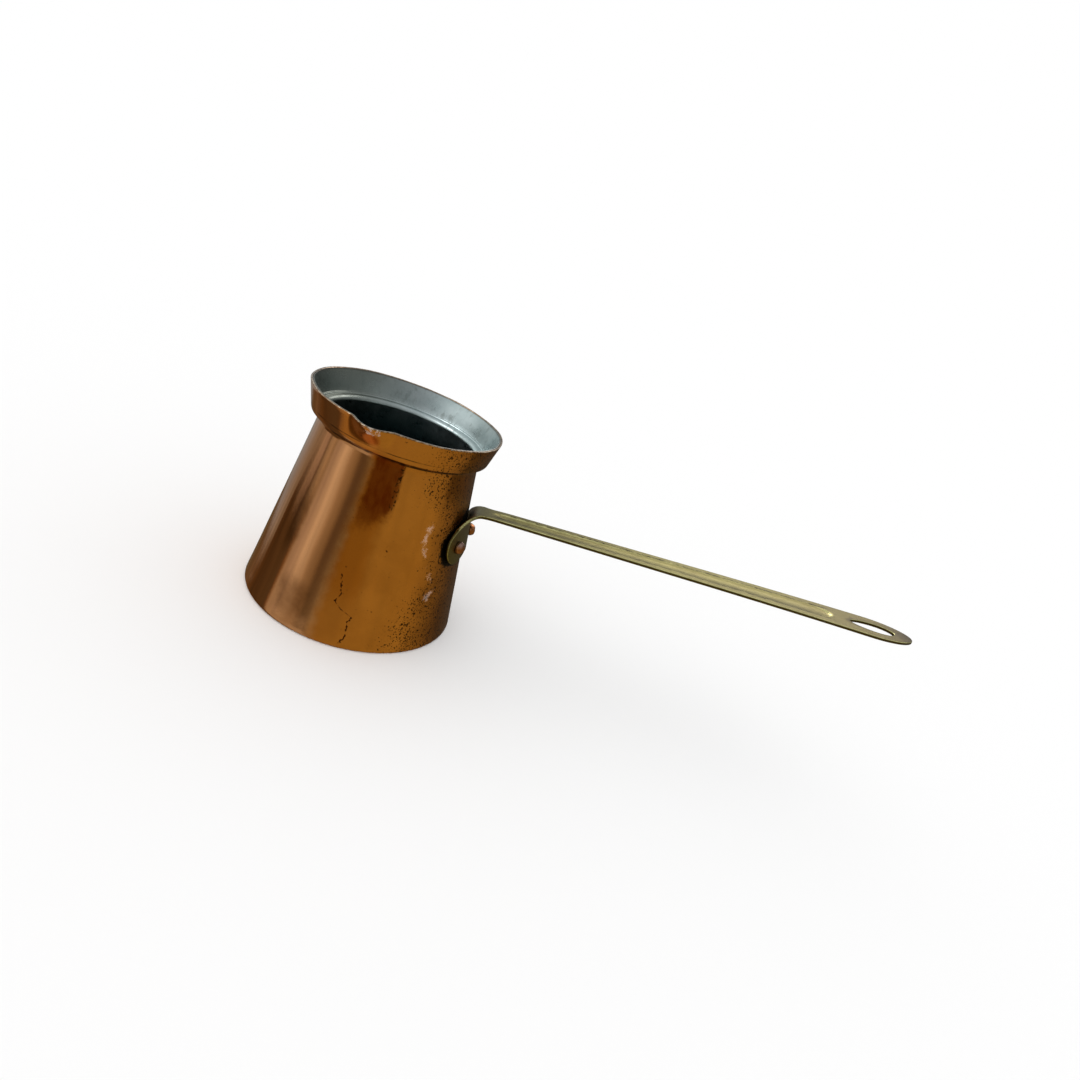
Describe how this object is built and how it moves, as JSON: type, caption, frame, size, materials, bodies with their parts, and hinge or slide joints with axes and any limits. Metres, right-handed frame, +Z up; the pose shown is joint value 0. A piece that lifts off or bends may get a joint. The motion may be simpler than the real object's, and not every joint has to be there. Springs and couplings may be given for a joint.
{
  "type": "coffee pot",
  "caption": "Small copper coffee pot (cezve) with a flared, tinned mouth, a pinched pouring lip and a long riveted brass strip handle.",
  "frame": {"origin": "centre of the flat base, on the surface the pot stands on", "axes": "+Z up the pot's axis, +X along the handle, the pouring lip close to -Y"},
  "size_m": [0.2789, 0.0898, 0.0902],
  "materials": {
    "copper": "polished copper, satin and speckled with tarnish on the handle side",
    "tin": "wiped tin, dull grey with faint scratches",
    "brass": "unpolished brass, browner towards the tip",
    "rivet_copper": "hammered copper"
  },
  "bodies": {
    "root": {"pot_body": "copper", "tin_lining": "tin", "handle": "brass", "rivet_left": "rivet_copper", "rivet_right": "rivet_copper"}
  },
  "joints": []
}
